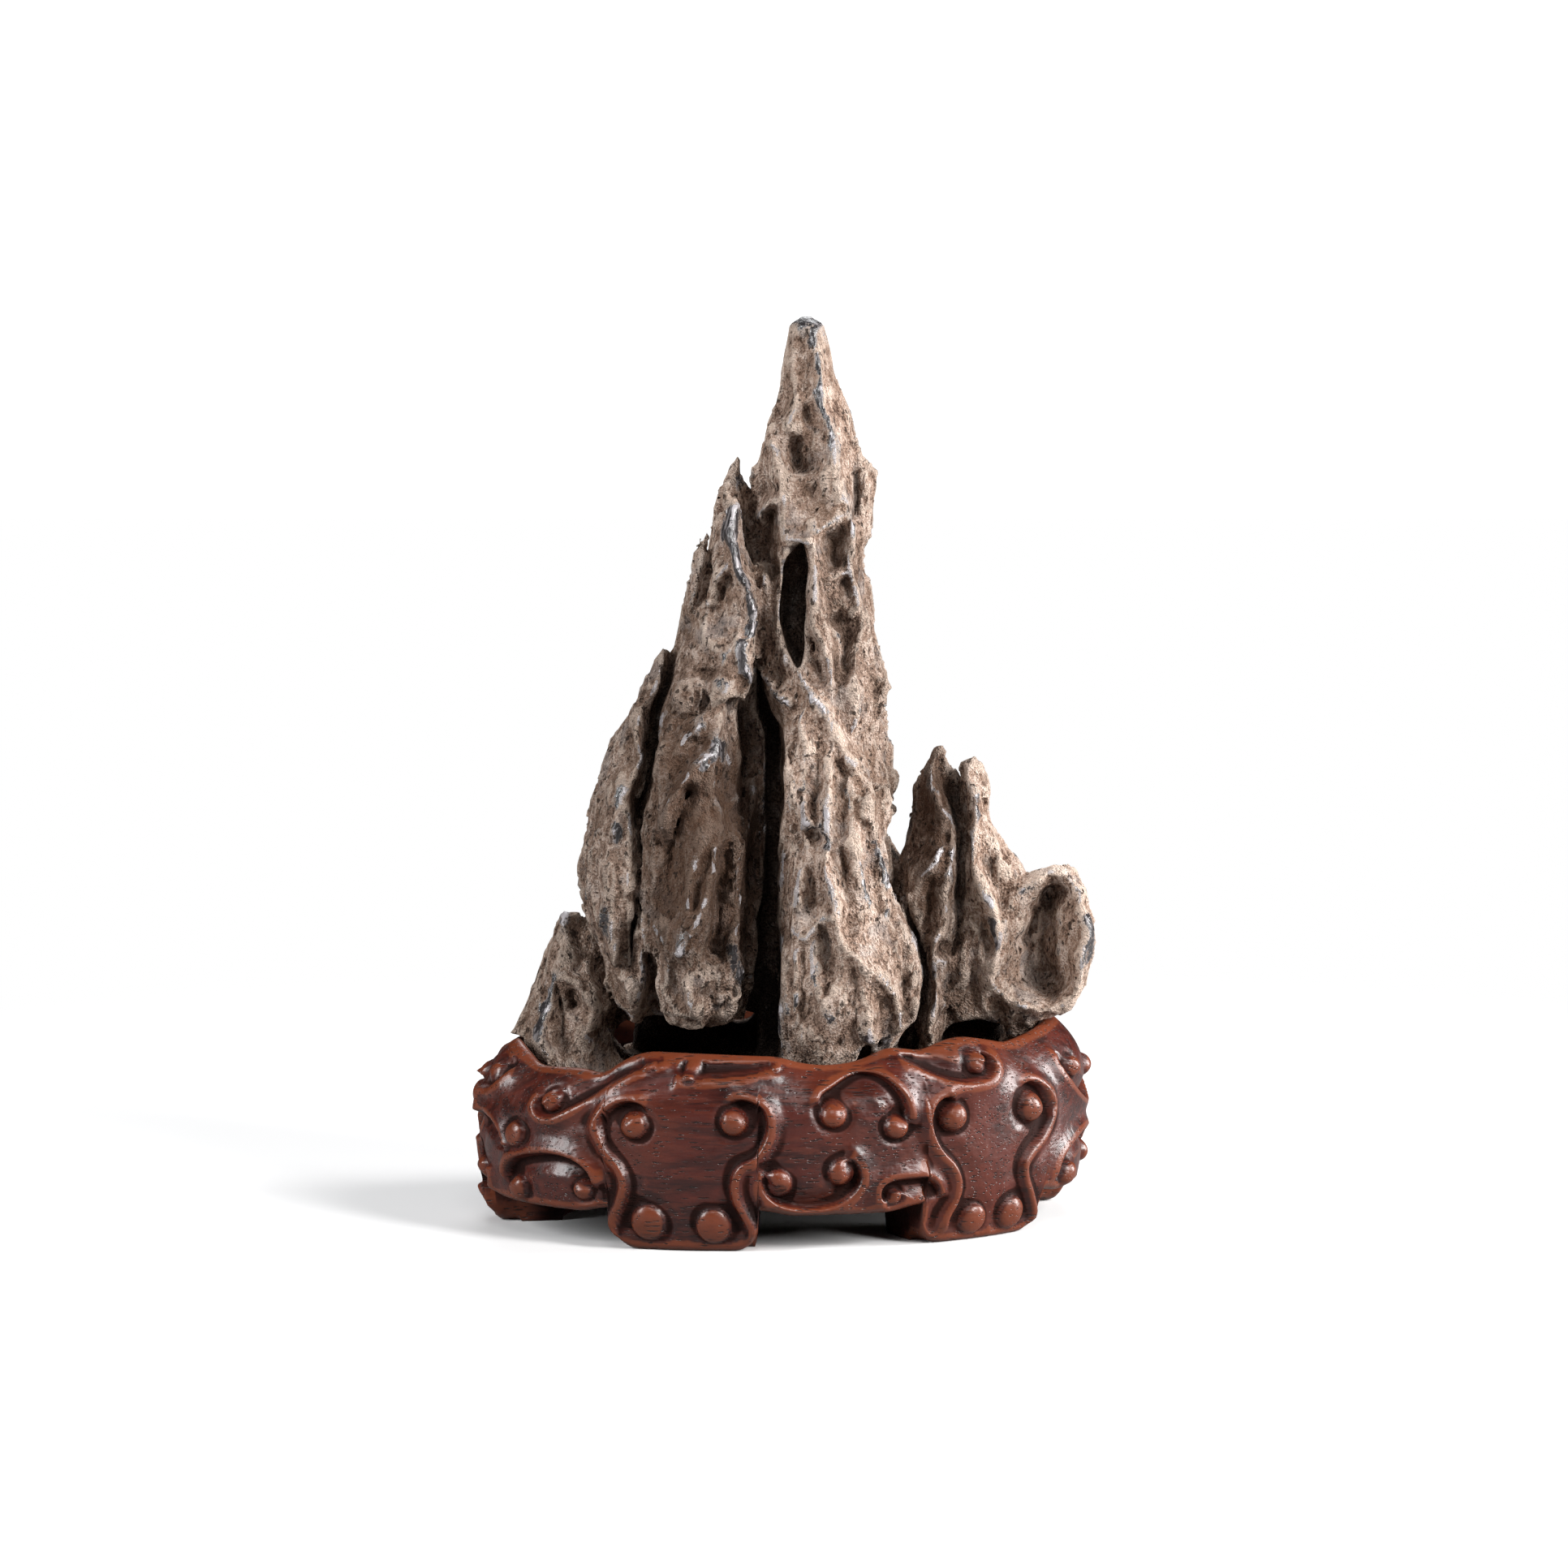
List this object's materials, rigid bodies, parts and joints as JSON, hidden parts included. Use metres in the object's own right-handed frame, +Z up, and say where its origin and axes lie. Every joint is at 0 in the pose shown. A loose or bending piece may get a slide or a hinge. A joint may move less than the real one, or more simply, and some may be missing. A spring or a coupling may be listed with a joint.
{
  "type": "scholar's rock on carved stand",
  "caption": "Mountain-shaped scholar's rock with a tall peak, hollowed slabs and a low side hill, resting in the socket of an oval wood stand carved with scrolls on short feet.",
  "frame": {"origin": "on the floor, under the middle of the whole object's box", "axes": "+Z up, +X to the right along the stand's long way, +Y to the back; the rock's broad face looks along -Y"},
  "size_m": [0.1867, 0.1279, 0.27],
  "materials": {
    "stone": "weathered grey-brown limestone, dusty in its hollows and rubbed dark and glossy along its crests",
    "carved_wood": "dark red-brown hardwood with an old waxed polish, lighter along the carved lips and nearly black in the recesses"
  },
  "bodies": {
    "root": {"rock": "stone", "stand": "carved_wood"}
  },
  "joints": []
}
